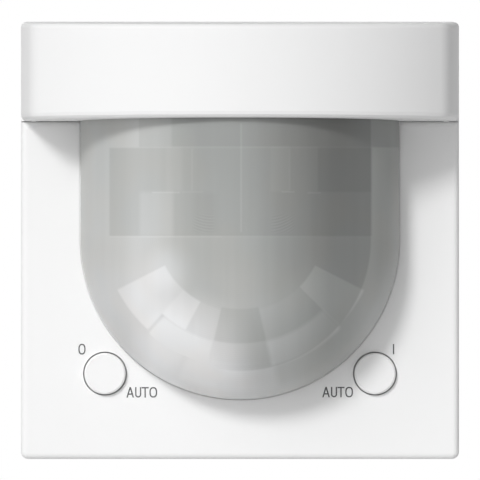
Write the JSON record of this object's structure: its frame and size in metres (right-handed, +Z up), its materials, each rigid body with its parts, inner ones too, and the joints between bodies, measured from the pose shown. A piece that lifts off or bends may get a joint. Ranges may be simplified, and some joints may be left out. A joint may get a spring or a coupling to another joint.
{
  "type": "motion detector",
  "caption": "Square white wall-mounted passive infrared motion detector attachment with a milky half-round lens under a curved hood and push buttons.",
  "frame": {"origin": "centre of the square ring at the collar's rear rim, the plane that seats against the insert", "axes": "+Z up on the wall, -Y out of the wall towards the room (the object's front), +Y into the wall, +X to the right seen from the front"},
  "size_m": [0.055, 0.0406, 0.055],
  "materials": {
    "cover_white": "smooth glossy white thermoplastic",
    "button_white": "smooth satin-gloss white thermoplastic",
    "lens_milky": "milky translucent polyethylene with moulded lens facets inside",
    "carrier_grey": "fine matt moulded grey",
    "baffle_black": "matt black, light-tight",
    "can_steel": "drawn nickel-plated can",
    "window_dark": "coated silicon window",
    "lead_tin": "tinned wire",
    "led_red": "tinted clear resin",
    "guide_clear": "clear moulded rod",
    "board_green": "solder-mask lacquer",
    "chip_black": "moulded epoxy",
    "capacitor_yellow": "moulded tantalum case",
    "chip_tan": "ceramic",
    "plunger_brown": "moulded plunger",
    "header_black": "moulded header",
    "pin_brass": "gilt brass",
    "rear_grey": "fine matt moulded grey"
  },
  "bodies": {
    "detector": {"front_plate": "cover_white", "hood": "cover_white", "lens_dome": "lens_milky", "chassis": "carrier_grey", "light_baffle": "baffle_black", "sensor_bracket": "baffle_black", "pyro_left": "can_steel", "pyro_right": "can_steel", "pyro_windows": "window_dark", "pyro_leads": "lead_tin", "status_led": "led_red", "light_sensor": "chip_black", "light_guide": "guide_clear", "main_board": "board_green", "microcontroller": "chip_black", "amplifier": "chip_black", "chip_leads": "lead_tin", "capacitor": "capacitor_yellow", "voltage_regulator": "chip_black", "chip_components": "chip_tan", "tact_body_left": "chip_black", "tact_body_right": "chip_black", "tact_terminals": "lead_tin", "pin_header": "header_black", "connector_pins": "pin_brass", "rear_housing": "rear_grey"},
    "button_left": {"button_left": "button_white", "tact_plunger_left": "plunger_brown"},
    "button_right": {"button_right": "button_white", "tact_plunger_right": "plunger_brown"}
  },
  "joints": [
    {"name": "button_left_press", "type": "slide", "parent": "detector", "child": "button_left", "axis": [0, 1, 0], "range_m": [0, 0.0005], "stiffness_N_per_m": 600, "springref_m": -0.002},
    {"name": "button_right_press", "type": "slide", "parent": "detector", "child": "button_right", "axis": [0, 1, 0], "range_m": [0, 0.0005], "stiffness_N_per_m": 600, "springref_m": -0.002}
  ]
}
